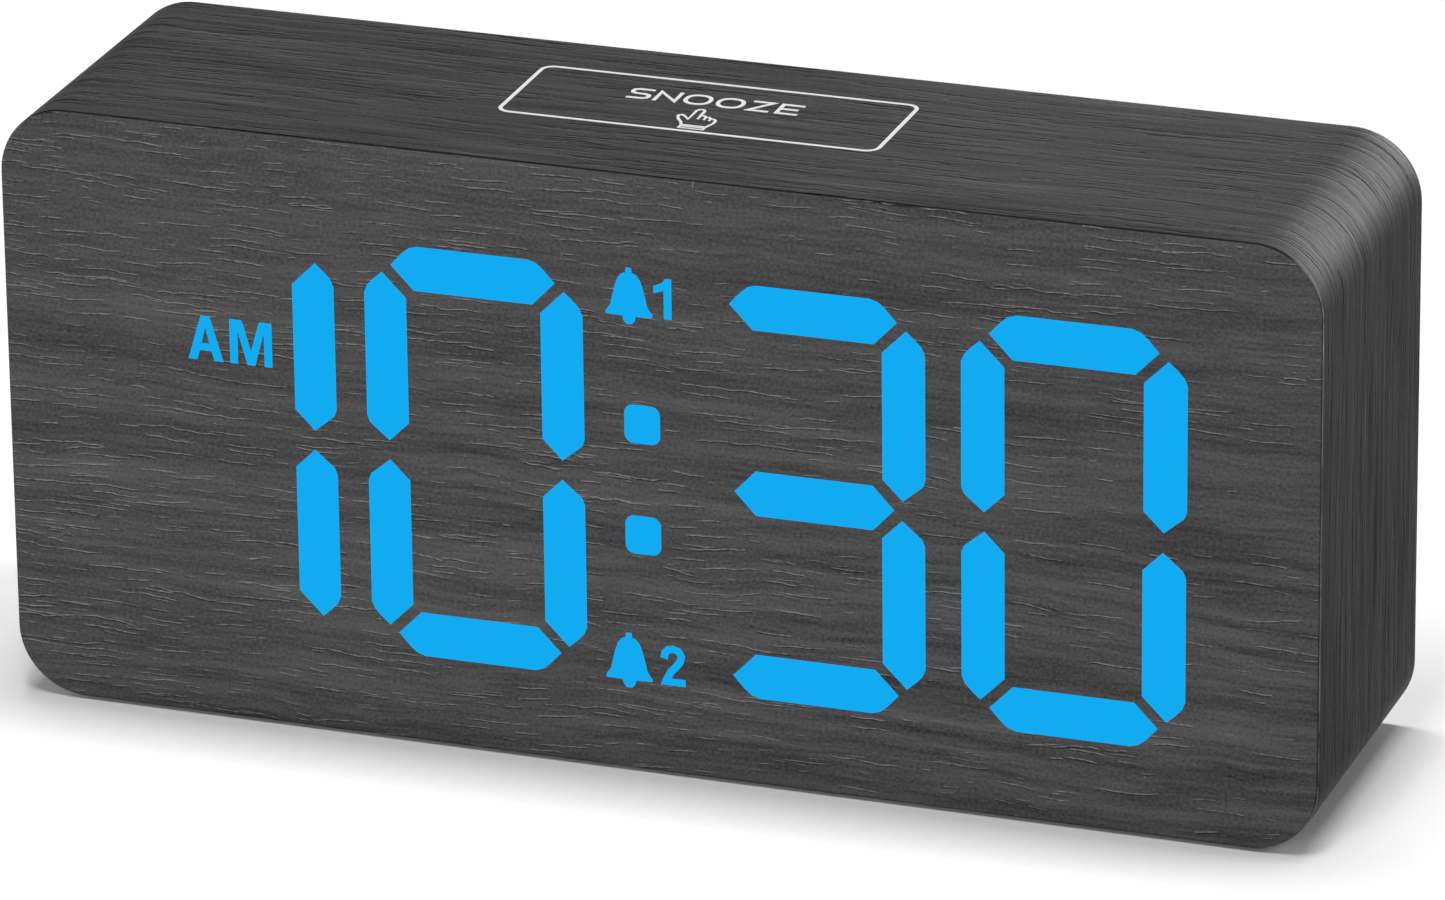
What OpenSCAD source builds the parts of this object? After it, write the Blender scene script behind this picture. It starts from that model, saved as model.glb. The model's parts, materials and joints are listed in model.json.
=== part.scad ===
// Digital alarm clock in a rounded wooden box case.
//
// The case is a machined fibreboard sleeve wrapped in wood-grain film. A
// second film covers the front, and the segment display shines through it.
// The snooze strip on top is a touch zone: ink on the film and a copper foil
// under the board. Keys, power port and battery bay are on the rear cover.
//
// Millimetres. The origin is the middle of the footprint, on the surface that
// the feet stand on. +X is to the right seen from the front, +Y points to the
// rear and +Z up.

/* [Case] */
// Overall width of the case
case_w = 150; // [148:1:156]
// Height of the case, without its feet
case_h = 69; // [68:1:74]
// Depth of the case, front to rear
case_d = 38; // [38:1:44]
// Radius of the four long edges
case_r = 7.8; // [6.5:0.1:9]
// Thickness of the case wall, film included
wall = 5; // [4.8:0.1:5.4]
// Thickness of the wood-grain film
film_t = 0.3; // [0.2:0.05:0.5]

/* [Feet] */
// Height of the rubber feet
foot_t = 0.3; // [0.2:0.1:2]
// Radius of a rubber foot
foot_r = 4.5; // [3:0.5:6]

/* [Display] */
// Sideways offset of the display's middle
disp_x = -0.7; // [-1:0.1:1]
// Offset of the display's middle above the middle of the case
disp_z = -0.45; // [-1:0.05:1]
// Distance of the two inner digits from the display's middle
digit_in = 19.35; // [19:0.05:19.6]
// Distance of the two outer digits from the display's middle
digit_out = 48.25; // [47.9:0.05:48.6]
// Depth of the light mask
mask_d = 8; // [5:0.5:9]

/* [Keys] */
// Radius of a key cap
key_r = 3.2; // [2.6:0.1:3.4]
// Clearance round a key cap
key_gap = 0.2; // [0.15:0.05:0.3]
// Distance between two keys
key_pitch = 12; // [11:0.5:12]

/* [Power port] */
// Radius of the round port in the rear cover
port_r = 4; // [3.5:0.1:4.5]

/* [Battery bay] */
// Inner length of the bay, for cells of 44.5 mm
bay_l = 51.6; // [51.2:0.1:52]
// Inner height of the bay, for three cells of 10.5 mm
bay_h = 33.4; // [33:0.1:33.6]
// Clearance round the battery door
door_gap = 0.3; // [0.2:0.05:0.4]

/* [Hidden] */
$fn = 48;

// Planes from front to rear
yf = -case_d / 2;              // front face
yr = case_d / 2;               // rear edge
y_panel0 = yf + film_t;        // front of the smoked panel
y_panel1 = y_panel0 + 1.8;     // its back
y_mask0 = y_panel1 + 0.2;      // front of the light mask
y_mask1 = y_mask0 + mask_d;    // its back, and the front of the display board
y_disp1 = y_mask1 + 1.6;       // back of the display board
y_cover1 = yr - 1.6;           // outer face of the rear cover
cover_t = 2.5;
y_cover0 = y_cover1 - cover_t; // inner face of the rear cover
y_main1 = y_cover0 - 6.3;      // rear face of the main board
y_main0 = y_main1 - 1.6;       // front face of the main board
zc = foot_t + case_h / 2;      // middle of the case
zt = foot_t + case_h;          // top of the case
dz = zc + disp_z;              // middle of the display
rebate = 3;                    // width of the front and rear rebates
in_w = case_w - 2 * wall;      // inner width of the sleeve
in_h = case_h - 2 * wall;      // inner height of the sleeve
in_r = 3.5;
reb_w = in_w + 2 * rebate;
reb_h = in_h + 2 * rebate;
reb_r = 5.5;

// Keys, port and buzzer on the rear cover
key_x = [for (i = [0:4]) 5 + i * key_pitch];
key_z = zc + 9;
port = [50, zc - 11];
buzz = [22, zc - 10];
posts = [[-1.5, zc - 21.5], [-1.5, zc + 21.5], [56, zc - 21.5], [56, zc + 21.5]];
block_c = [in_w / 2 - 4.5, in_h / 2 - 4.5];

// Battery bay
bx = -38;
bz = zc;
rec_l = bay_l + 4;             // recess that the door lies in
rec_h = bay_h + 4;
hinge_z = bz + rec_h / 2;      // the door turns about this edge

// ---- helpers ----

// Draws a 2D shape, given in x and z, as a plate from y0 to y1
module plate(y0, y1) translate([0, y1, 0]) rotate([90, 0, 0])
    linear_extrude(height = y1 - y0) children();

// Rounded rectangle about the origin
module rrect(w, h, r) {
    square([w - 2 * r, h], center = true);
    square([w, h - 2 * r], center = true);
    for (x = [-1, 1], y = [-1, 1])
        translate([x * (w / 2 - r), y * (h / 2 - r)]) circle(r);
}

module ycyl(x, z, r, y0, y1) translate([x, y1, z]) rotate([90, 0, 0])
    cylinder(r = r, h = y1 - y0);

function unit(v) = v / norm(v);
function seg_n(p, i) = let(d = unit(p[i + 1] - p[i])) [-d[1], d[0]];
function vert_n(p, i) = i == 0 ? seg_n(p, 0)
    : i == len(p) - 1 ? seg_n(p, len(p) - 2)
    : let(a = seg_n(p, i - 1), b = seg_n(p, i), m = unit(a + b)) m / max(0.45, m * a);
// Outline of a line of width w through the points p
function stroke(p, w) = concat(
    [for (i = [0:len(p) - 1]) p[i] + vert_n(p, i) * w / 2],
    [for (i = [len(p) - 1:-1:0]) p[i] - vert_n(p, i) * w / 2]);
// Closed outline through p, moved outwards by w
function ring_n(p, i) = let(n = len(p), a = unit(p[i] - p[(i + n - 1) % n]), b = unit(p[(i + 1) % n] - p[i]),
    na = [-a[1], a[0]], nb = [-b[1], b[0]], m = unit(na + nb)) m / max(0.6, m * na);
function grow(p, w) = [for (i = [0:len(p) - 1]) p[i] + ring_n(p, i) * w];
function oval(rx, ry, e = 1, n = 32) = [for (i = [0:n - 1]) let(a = 360 * i / n)
    [rx * sign(cos(a)) * pow(abs(cos(a)), e), ry * sign(sin(a)) * pow(abs(sin(a)), e)]];

// Quarter bend of a round wire about the origin, from +x to +y
module bend(rb, r) rotate_extrude(angle = 90) translate([rb, 0]) circle(r, $fn = 24);
// Wire in the level plane z: forward from [x0, y0], across at yb, back to [x1, y1]
module lead(x0, y0, x1, y1, yb, z, r) {
    rb = 1.6;
    union() {
        ycyl(x0, z, r, yb + rb, y0);
        translate([x0 + rb, yb + rb, z]) rotate([0, 0, 180]) bend(rb, r);
        translate([x0 + rb, yb, z]) rotate([0, 90, 0]) cylinder(r = r, h = x1 - x0 - 2 * rb);
        translate([x1 - rb, yb + rb, z]) rotate([0, 0, 270]) bend(rb, r);
        ycyl(x1, z, r, yb + rb, y1);
    }
}

// Pan-head screw whose head sits on the plane y, shank towards +y or -y
module screw(x, z, y, head_r, head_h, shank_r, shank_l, dir) {
    s = dir;
    difference() {
        union() {
            ycyl(x, z, head_r, s > 0 ? y - head_h : y, s > 0 ? y : y + head_h);
            ycyl(x, z, shank_r, s > 0 ? y : y - shank_l, s > 0 ? y + shank_l : y);
        }
        for (a = [0, 90]) translate([x, s > 0 ? y - head_h : y + head_h, z])
            rotate([0, a + 20, 0]) cube([head_r * 1.3, head_h, head_r * 0.26], center = true);
    }
}

// Small chip on a board: body and two rows of legs. s is the way it stands up
module chip(x, z, y, w, h, t, legs, s) {
    translate([x, y + s * (t / 2 + 0.1), z]) cube([w, t, h], center = true);
    pitch = w / (legs + 0.5);
    for (i = [0:legs - 1], e = [-1, 1])
        translate([x + (i - (legs - 1) / 2) * pitch, y + s * 0.25, z + e * (h / 2 + 0.7)])
            cube([pitch * 0.4, 0.5, 1.4], center = true);
}

// ---- display shapes, in x and z about the display's middle ----

// Upright segment. +x is the digit's outer side and +y its outer end
seg_v = [[-2.43, -7.5], [-2.43, 7.05], [0.3, 9.78], [1.35, 8.85], [2.05, 8.1],
    [2.42, 7.2], [2.42, -7.05], [2.12, -7.85], [-0.15, -9.75]];
// Level segment. +y is the digit's outer side
seg_h = [[-9.45, 0.15], [-8.15, 1.58], [-7.35, 2.26], [-6.4, 2.56], [6.4, 2.56],
    [7.35, 2.26], [8.15, 1.58], [9.45, 0.15], [6.8, -2.58], [-6.8, -2.58]];
seg_mid = [[-9.05, 0], [-6.62, 2.58], [6.62, 2.58], [9.05, 0], [6.62, -2.58], [-6.62, -2.58]];
function flip(p, sx, sy) = [for (q = p) [q[0] * sx, q[1] * sy]];
// Segments a to g: [points, offset in the digit]
SEG = [[seg_h, [0, 21.35]], [seg_v, [10.15, 10.88]], [flip(seg_v, 1, -1), [10.08, -10.85]],
    [flip(seg_h, 1, -1), [0, -21.33]], [flip(seg_v, -1, -1), [-10.15, -10.9]],
    [flip(seg_v, -1, 1), [-10.15, 10.8]], [seg_mid, [0, 0]]];
digit_x = [-digit_out + 0.16, -digit_in - 0.05, digit_in - 0.05, digit_out + 0.18];
// Segments that are lit for 10:30
LIT = [[1, 2], [0, 1, 2, 3, 4, 5], [0, 1, 2, 3, 6], [0, 1, 2, 3, 4, 5]];
dots = [[-0.2, 6.4], [-0.25, -6.45]];

module segment(d, s) translate([digit_x[d] + SEG[s][1][0], SEG[s][1][1]]) polygon(SEG[s][0]);
module lit_segments() translate([disp_x, dz])
    for (d = [0:3], s = LIT[d]) segment(d, s);
module lit_dots() translate([disp_x, dz]) for (p = dots) translate(p) rrect(4.1, 4.45, 1.05);

bell_half = [[0.28, 3.25], [0.36, 3.0], [0.34, 2.72], [0.85, 2.5], [1.28, 1.95], [1.58, 1.1],
    [1.85, 0.05], [2.12, -1.15], [2.66, -1.92], [2.66, -2.25], [0.76, -2.3], [0.66, -2.8], [0.32, -3.2]];
bell_pts = concat(bell_half, [for (i = [len(bell_half) - 1:-1:0]) [-bell_half[i][0], bell_half[i][1]]]);
module bell() polygon(bell_pts);
module figure_1() polygon([[1.15, 0], [2.05, 0], [2.05, 4.65], [1.35, 4.65], [0.95, 4.1],
    [0, 3.7], [0, 2.85], [1.15, 3.25]]);
module figure_2() {
    polygon(stroke([[0.42, 3.1], [0.55, 3.75], [0.95, 4.18], [1.5, 4.28], [2.1, 4.1],
        [2.42, 3.55], [2.3, 2.95], [1.85, 2.3], [1.2, 1.6], [0.62, 0.5]], 0.84));
    polygon([[0, 0], [2.88, 0], [2.88, 0.84], [0.35, 0.84]]);
}
module letter_a() difference() {
    polygon([[0, 0], [1.55, 5.15], [2.6, 5.15], [4.13, 0], [3.05, 0], [2.75, 1.1], [1.36, 1.1], [1.06, 0]]);
    polygon([[1.62, 1.98], [2.5, 1.98], [2.06, 3.85]]);
}
module letter_m() polygon([[0, 0], [0, 5.15], [1.45, 5.15], [2.47, 1.7], [3.5, 5.15],
    [4.95, 5.15], [4.95, 0], [4.02, 0], [4.02, 3.9], [2.93, 0], [2.02, 0], [0.93, 3.9], [0.93, 0]]);
module indicators() translate([disp_x, dz]) {
    translate([-52.76, 7.87]) letter_a();
    translate([-47.85, 7.87]) letter_m();
    translate([-1.52, 21.05]) bell();
    translate([1.3, 18.85]) figure_1();
    translate([-2.1, -21.3]) bell();
    translate([1.5, -23.65]) figure_2();
}

// ---- case ----

module case_sleeve() color([0.36, 0.27, 0.2]) difference() {
    plate(y_panel0, yr) translate([0, zc])
        rrect(case_w - 2 * film_t, case_h - 2 * film_t, case_r - film_t);
    plate(yf - 1, yr + 1) translate([0, zc]) rrect(in_w, in_h, in_r);
    plate(yf - 1, y_panel1) translate([0, zc]) rrect(reb_w, reb_h, reb_r);
    plate(y_cover0, yr + 1) translate([0, zc]) rrect(reb_w, reb_h, reb_r);
}

module wrap_film() color([0.27, 0.27, 0.27]) plate(y_panel0, yr) translate([0, zc]) difference() {
    rrect(case_w, case_h, case_r);
    rrect(case_w - 2 * film_t, case_h - 2 * film_t, case_r - film_t);
}

module front_film() color([0.3, 0.3, 0.3]) plate(yf, y_panel0) difference() {
    translate([0, zc]) rrect(case_w - 0.2, case_h - 0.2, case_r - 0.1);
    lit_segments();
    lit_dots();
    indicators();
}

module front_panel() color([0.12, 0.12, 0.13]) plate(y_panel0, y_panel1)
    translate([0, zc]) rrect(reb_w - 0.4, reb_h - 0.4, reb_r - 0.2);

module rubber_feet() color([0.08, 0.08, 0.08])
    for (x = [-1, 1], y = [-1, 1]) translate([x * (case_w / 2 - 15), y * (case_d / 2 - 7), 0])
        cylinder(r = foot_r, h = foot_t);

module corner_blocks() color([0.55, 0.42, 0.3]) difference() {
    plate(y_disp1, y_cover0) translate([0, zc]) intersection() {
        rrect(in_w - 0.1, in_h - 0.1, in_r - 0.05);
        for (x = [-1, 1], z = [-1, 1]) translate([x * in_w / 2, z * in_h / 2])
            square([18, 18], center = true);
    }
    for (x = [-1, 1], z = [-1, 1])
        ycyl(x * block_c[0], zc + z * block_c[1], 1.25, y_cover0 - 10, y_cover0 + 1);
}

// ---- touch strip on the top ----

snz = [-0.83, 3.13];           // middle of the frame
letter_s = [[2.55, 2.98], [0.78, 2.98], [0.33, 2.74], [0.22, 2.3], [0.34, 1.86], [0.8, 1.64],
    [1.9, 1.58], [2.36, 1.36], [2.48, 0.92], [2.36, 0.46], [1.9, 0.22], [0.12, 0.22]];
letter_n = [[0.22, 0], [0.22, 2.85], [2.48, 0.35], [2.48, 3.2]];
letter_z = [[0.1, 2.98], [2.4, 2.98], [0.3, 0.22], [2.62, 0.22]];
letter_e = [[2.62, 2.98], [0.22, 2.98], [0.22, 0.22], [2.62, 0.22]];
hand = [[-1.02, 1.15], [-1.3, 1.95], [-2.0, 2.95], [-2.28, 3.85], [-1.98, 4.15], [-1.6, 3.95],
    [-0.86, 2.95], [-0.86, 5.85], [-0.62, 6.28], [-0.18, 6.28], [0.06, 5.85],
    [0.1, 4.3], [0.52, 4.45], [0.84, 4.1], [1.2, 4.12], [1.5, 3.75], [1.88, 3.72],
    [2.2, 3.3], [2.2, 2.4], [1.82, 1.15]];
module word(p) {
    w = 0.46;
    x = [-10.73, -7.58, -4.36, -0.63, 3.1, 6.42];
    translate([x[0], p]) polygon(stroke(letter_s, w));
    translate([x[1], p]) polygon(stroke(letter_n, w));
    for (i = [2, 3]) translate([x[i] + 1.61, p + 1.6]) difference() {
        polygon(oval(1.61, 1.6, 0.85));
        polygon(oval(1.61 - w, 1.6 - w, 0.85));
    }
    translate([x[4], p]) polygon(stroke(letter_z, w));
    translate([x[5], p]) {
        polygon(stroke(letter_e, w));
        translate([0.3, 1.37]) square([2.0, w]);
    }
}
module snooze_print() color([0.93, 0.93, 0.93]) translate([0, 0, zt]) linear_extrude(height = 0.05) {
    translate(snz) difference() {
        rrect(43.72, 15.66, 1.6);
        rrect(42.82, 14.76, 1.15);
    }
    word(3.7);
    translate([-0.9, -3.85]) {
        difference() {
            polygon(grow(hand, 0.16));
            polygon(grow(hand, -0.16));
        }
        translate([-0.02, 3.3]) square([0.26, 1.0]);
        translate([0.7, 3.25]) square([0.26, 0.88]);
        translate([1.36, 3.1]) square([0.26, 0.7]);
        difference() {
            translate([-1.12, 0.1]) square([3.04, 0.78]);
            translate([-0.86, 0.36]) square([2.52, 0.26]);
        }
    }
}

module touch_foil() color([0.8, 0.5, 0.3]) translate([snz[0], snz[1], zt - wall - 0.075])
    cube([40, 13, 0.15], center = true);

module touch_wire() color([0.85, 0.85, 0.8]) {
    rb = 1.5;
    zb = zc + 23.5;
    union() {
        translate([10, 4, zb + rb]) cylinder(r = 0.4, h = zt - wall - 0.15 - zb - rb);
        translate([10, 4 + rb, zb + rb]) rotate([90, 0, 90]) rotate([0, 0, 180]) bend(rb, 0.4);
        ycyl(10, zb, 0.4, 4 + rb, y_main0);
    }
}

// ---- display stack ----

module diffuser_sheet() color([0.92, 0.92, 0.9]) plate(y_panel1, y_mask0)
    translate([0, zc]) rrect(132, 54, 1);

module light_mask() color([0.1, 0.1, 0.1]) difference() {
    plate(y_mask0, y_mask1) difference() {
        translate([0, zc]) rrect(134, 56, 1);
        translate([disp_x, dz]) {
            for (d = [0:3], s = [0:6]) segment(d, s);
            for (p = dots) translate(p) rrect(4.1, 4.45, 1.05);
            translate([-48.0, 10.4]) square([10.8, 6.4], center = true);
            translate([-48.0, -10.4]) square([10.8, 6.4], center = true);
            translate([-0.5, 21.1]) square([8.6, 7], center = true);
            translate([-0.5, -21.3]) square([8.6, 7], center = true);
        }
    }
    for (p = mask_screw_at) ycyl(p[0], p[1], 0.85, y_mask1 - 6, y_mask1 + 1);
}
mask_screw_at = [[-64, zc - 12], [-64, zc + 12], [64, zc - 12], [64, zc + 12],
    [-0.7, zc + 26.3], [-0.7, zc - 26.3]];

module display_board() color([0.1, 0.32, 0.16]) difference() {
    plate(y_mask1, y_disp1) translate([0, zc]) rrect(136, 57, 1);
    for (p = mask_screw_at) ycyl(p[0], p[1], 1.1, y_mask1 - 1, y_disp1 + 1);
}

module led(x, z) translate([x, y_mask1 - 0.4, z]) cube([2, 0.8, 1.25], center = true);
module segment_leds() color([0.95, 0.93, 0.8]) translate([disp_x, 0, dz]) {
    for (d = [0:3], s = [0:6], e = [-1, 1]) let(up = s == 1 || s == 2 || s == 4 || s == 5)
        led(digit_x[d] + SEG[s][1][0] + (up ? 0 : e * 4.2), SEG[s][1][1] + (up ? e * 4.6 : 0));
    for (p = dots) led(p[0], p[1]);
    for (z = [-10.4, 10.4], e = [-1, 1]) led(-48.0 + e * 2.6, z);
    for (z = [-21.3, 21.1], e = [-1, 1]) led(-0.5 + e * 2.2, z);
}

module mask_screws() color([0.75, 0.75, 0.75])
    for (p = mask_screw_at) screw(p[0], p[1], y_disp1, 1.8, 1.2, 0.8, 6, -1);

module led_driver_chip() color([0.13, 0.13, 0.14]) chip(-14, zc + 2, y_disp1, 17.9, 7.5, 2.2, 14, 1);

module display_header() color([0.9, 0.88, 0.8]) translate([36, y_disp1 + 1.5, zc - 19]) cube([14, 3, 5], center = true);
module main_header() color([0.9, 0.88, 0.8]) translate([36, y_main0 - 1.5, zc - 8]) cube([14, 3, 5], center = true);

// Ten-way ribbon in a loose S from one header to the other
rib_y0 = y_disp1 + 3;
rib_y1 = y_main0 - 3;
function rib(t) = [rib_y0 + 0.7 + (rib_y1 - rib_y0 - 1.4) * t, zc - 19 + 11 * (t < 0.5 ? 2 * t * t : 1 - 2 * (1 - t) * (1 - t))];
module ribbon_strip(x0, w, th) translate([x0, 0, 0]) rotate([90, 0, 90])
    linear_extrude(height = w) polygon(stroke(concat([[rib_y0, zc - 19]],
        [for (i = [0:10]) rib(i / 10)], [[rib_y1, zc - 8]]), th));
module ribbon_cable() color([0.6, 0.6, 0.62]) union() {
    ribbon_strip(29.85, 12.3, 0.4);
    for (i = [0:9]) ribbon_strip(29.8 + i * 1.27, 0.95, 0.95);
}

// ---- main board ----

module main_board() color([0.1, 0.32, 0.16]) difference() {
    plate(y_main0, y_main1) translate([27.25, zc]) rrect(64.5, 50, 1);
    for (p = posts) ycyl(p[0], p[1], 1.15, y_main0 - 1, y_main1 + 1);
}
module main_board_screws() color([0.75, 0.75, 0.75])
    for (p = posts) screw(p[0], p[1], y_main0, 1.9, 1.3, 0.85, 6.5, 1);
module microcontroller() color([0.13, 0.13, 0.14]) chip(28, zc + 6, y_main0, 12.8, 7.5, 1.8, 10, -1);
module clock_crystal() color([0.8, 0.8, 0.78]) translate([10, y_main0 - 1.5, zc + 4]) rotate([0, 90, 0]) cylinder(r = 1.5, h = 8);
module filter_capacitor() color([0.15, 0.15, 0.3]) ycyl(50, zc + 13, 3.15, y_main0 - 7.5, y_main0);
module buzzer() color([0.12, 0.12, 0.12]) difference() {
    ycyl(buzz[0], buzz[1], 6, y_main1, y_cover0 - 0.3);
    ycyl(buzz[0], buzz[1], 1, y_cover0 - 2.5, y_cover0);
}
module switch_bodies() color([0.2, 0.2, 0.2]) for (x = key_x) difference() {
    translate([x, y_main1 + 1.75, key_z]) cube([6, 3.5, 6], center = true);
    ycyl(x, key_z, 1.85, y_main1 + 1.2, y_main1 + 4);
}
module power_jack() color([0.1, 0.1, 0.1]) difference() {
    translate([port[0], (y_main1 + y_cover0 - 0.2) / 2, port[1]]) cube([9, y_cover0 - 0.2 - y_main1, 9], center = true);
    ycyl(port[0], port[1], 1.75, y_main1 + 1, y_cover0);
}
module power_jack_pin() color([0.85, 0.8, 0.6]) ycyl(port[0], port[1], 0.62, y_main1 + 1, y_cover0 - 0.9);

// ---- rear cover ----

tab_x = [bx - 17, bx + 17];
module rear_cover() color([0.11, 0.11, 0.12]) difference() {
    union() {
        plate(y_cover0, y_cover1) translate([0, zc]) rrect(reb_w - 0.4, reb_h - 0.4, reb_r - 0.2);
        for (p = posts) ycyl(p[0], p[1], 2.8, y_main1, y_cover0 + 0.5);
    }
    for (p = posts) ycyl(p[0], p[1], 0.9, y_main1 - 1, y_cover0 - 0.6);
    for (x = key_x) ycyl(x, key_z, key_r + key_gap, y_cover0 - 1, y_cover1 + 1);
    ycyl(port[0], port[1], port_r, y_cover0 - 1, y_cover1 + 1);
    for (a = [0:60:300]) ycyl(buzz[0] + 3 * cos(a), buzz[1] + 3 * sin(a), 0.7, y_cover0 - 1, y_cover1 + 1);
    ycyl(buzz[0], buzz[1], 0.7, y_cover0 - 1, y_cover1 + 1);
    for (x = [-1, 1], z = [-1, 1]) {
        ycyl(x * block_c[0], zc + z * block_c[1], 1.45, y_cover0 - 1, y_cover1 + 1);
        ycyl(x * block_c[0], zc + z * block_c[1], 2.8, y_cover1 - 1.3, y_cover1 + 1);
    }
    // battery bay: through opening, recess for the door, slots for its two tabs
    plate(y_cover0 - 1, y_cover1 + 1) translate([bx, bz]) square([bay_l, bay_h], center = true);
    plate(y_cover1 - 1.7, y_cover1 + 1) translate([bx, bz]) square([rec_l, rec_h], center = true);
    plate(y_cover0 - 1, y_cover1 + 1) for (x = tab_x) translate([x - 3.5, hinge_z - 3]) square([7, 3]);
}
module rear_cover_screws() color([0.72, 0.72, 0.72]) for (x = [-1, 1], z = [-1, 1])
    screw(x * block_c[0], zc + z * block_c[1], y_cover1 - 1.3, 2.5, 1.1, 1.2, 10, -1);

// Marks beside the keys and the port, printed on the rear cover
module control_marks() color([0.85, 0.85, 0.85]) plate(y_cover1, y_cover1 + 0.05) {
    z = key_z + 6.6;
    translate([key_x[0], z]) {
        difference() { circle(1.5); circle(1.15); }
        translate([-0.14, -0.14]) square([0.28, 1.0]);
        translate([0.14, -0.14]) square([0.6, 0.28]);
    }
    translate([key_x[1], z]) polygon([[-1.4, -1], [1.4, -1], [0, 1.3]]);
    translate([key_x[2], z]) polygon([[-1.4, 1], [1.4, 1], [0, -1.3]]);
    // mirrored in x, because they are read from the rear
    translate([key_x[3] + 0.9, z]) polygon(0.5 * bell_pts);
    translate([key_x[3] - 0.9, z - 1.1]) mirror([1, 0]) polygon(0.5 * [[1.15, 0], [2.05, 0], [2.05, 4.65], [1.35, 4.65], [0.95, 4.1], [0, 3.7], [0, 2.85], [1.15, 3.25]]);
    translate([key_x[4] + 0.9, z]) polygon(0.5 * bell_pts);
    translate([key_x[4] - 0.9, z - 1.1]) mirror([1, 0]) {
        polygon(0.5 * stroke([[0.42, 3.1], [0.55, 3.75], [0.95, 4.18], [1.5, 4.28], [2.1, 4.1],
            [2.42, 3.55], [2.3, 2.95], [1.85, 2.3], [1.2, 1.6], [0.62, 0.5]], 0.84));
        polygon(0.5 * [[0, 0], [2.88, 0], [2.88, 0.84], [0.35, 0.84]]);
    }
    // centre-positive sign of the power port
    translate([port[0], port[1] - 7.5]) {
        difference() { circle(1.3); circle(1.0); translate([-0.45, -2]) square([0.9, 2]); }
        circle(0.5);
    }
}

// ---- keys ----

module key_cap(i) color([0.16, 0.16, 0.17]) {
    x = key_x[i];
    union() {
        difference() {
            ycyl(x, key_z, key_r, y_cover0 - 0.5, y_cover1 + 1);
            // shallow dish for the fingertip
            translate([x, y_cover1 + 1 + 13.6, key_z]) sphere(r = 14, $fn = 64);
        }
        ycyl(x, key_z, key_r + 1, y_cover0 - 0.9, y_cover0 - 0.1);
    }
}
module plunger(i) color([0.75, 0.72, 0.65]) ycyl(key_x[i], key_z, 1.75, y_main1 + 2.3, y_cover0 - 0.9);
module key_set() key_cap(0);
module key_up() key_cap(1);
module key_down() key_cap(2);
module key_alarm_1() key_cap(3);
module key_alarm_2() key_cap(4);
module plunger_set() plunger(0);
module plunger_up() plunger(1);
module plunger_down() plunger(2);
module plunger_alarm_1() plunger(3);
module plunger_alarm_2() plunger(4);

// ---- battery bay ----

y_tray0 = y_cover0 - 13;
module battery_tray() color([0.13, 0.13, 0.14]) difference() {
    plate(y_tray0, y_cover0) translate([bx, bz]) square([bay_l + 3, bay_h + 3], center = true);
    plate(y_tray0 + 1.5, y_cover0 + 1) translate([bx, bz]) square([bay_l, bay_h], center = true);
    // room for the door's tabs as they turn
    plate(y_cover0 - 2.6, y_cover0 + 1) for (x = tab_x) translate([x - 3.5, bz + bay_h / 2 - 1]) square([7, 4]);
    // slots for the two solder tabs
    translate([bx - bay_l / 2 - 1, y_tray0 + 5, bz + 11]) cube([4, 0.5, 2.4], center = true);
    translate([bx + bay_l / 2 + 1, y_tray0 + 5, bz - 11]) cube([4, 0.5, 2.4], center = true);
}

cell_z = [bz + 11, bz, bz - 11];
cell_y = y_tray0 + 1.5 + 5.6;
module contact_plate(side, z0, z1) translate([bx + side * (bay_l / 2 - 0.15), cell_y - 0.6, (z0 + z1) / 2])
    cube([0.3, 8, z1 - z0 + 8], center = true);
module nub(side, z) translate([bx + side * (bay_l / 2 - 0.3), cell_y, z]) rotate([0, -side * 90, 0])
    cylinder(r = 1.7, h = 0.8);
module battery_plates() color([0.8, 0.8, 0.78]) {
    union() {
        contact_plate(-1, cell_z[0], cell_z[0]);
        translate([bx - bay_l / 2 - 1.4, y_tray0 + 5, bz + 11]) cube([3.2, 0.3, 2], center = true);
    }
    union() { contact_plate(-1, cell_z[2], cell_z[1]); nub(-1, cell_z[1]); }
    union() { contact_plate(1, cell_z[1], cell_z[0]); nub(1, cell_z[0]); }
    union() {
        contact_plate(1, cell_z[2], cell_z[2]);
        nub(1, cell_z[2]);
        translate([bx + bay_l / 2 + 1.4, y_tray0 + 5, bz - 11]) cube([3.2, 0.3, 2], center = true);
    }
}

// Conical coil spring along +x: rings of 8 points along the coil
spr_l = 4.2;
spr_turns = 4;
spr_n = 15 * spr_turns;
function spr_at(i) = let(t = i / spr_n, r = 3.3 - 1.7 * t) [spr_l * t, r * cos(360 * spr_turns * t), r * sin(360 * spr_turns * t)];
function spr_ring(i) = let(c = spr_at(i), t = i / spr_n, u = [0, cos(360 * spr_turns * t), sin(360 * spr_turns * t)])
    [for (k = [0:7]) c + 0.3 * cos(45 * k) * u + 0.3 * sin(45 * k) * [1, 0, 0]];
module coil() polyhedron(
    points = [for (i = [0:spr_n]) each spr_ring(i)],
    faces = concat(
        [for (i = [0:spr_n - 1], k = [0:7]) each [
            [i * 8 + k, (i + 1) * 8 + k, (i + 1) * 8 + (k + 1) % 8],
            [i * 8 + k, (i + 1) * 8 + (k + 1) % 8, i * 8 + (k + 1) % 8]]],
        [[for (k = [0:7]) k]],
        [[for (k = [7:-1:0]) spr_n * 8 + k]]));
module battery_springs() color([0.82, 0.82, 0.8]) {
    for (z = [cell_z[0], cell_z[2]]) translate([bx - bay_l / 2 + 0.62, cell_y, z]) coil();
    translate([bx + bay_l / 2 - 0.62, cell_y, cell_z[1]]) mirror([1, 0, 0]) coil();
}

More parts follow.
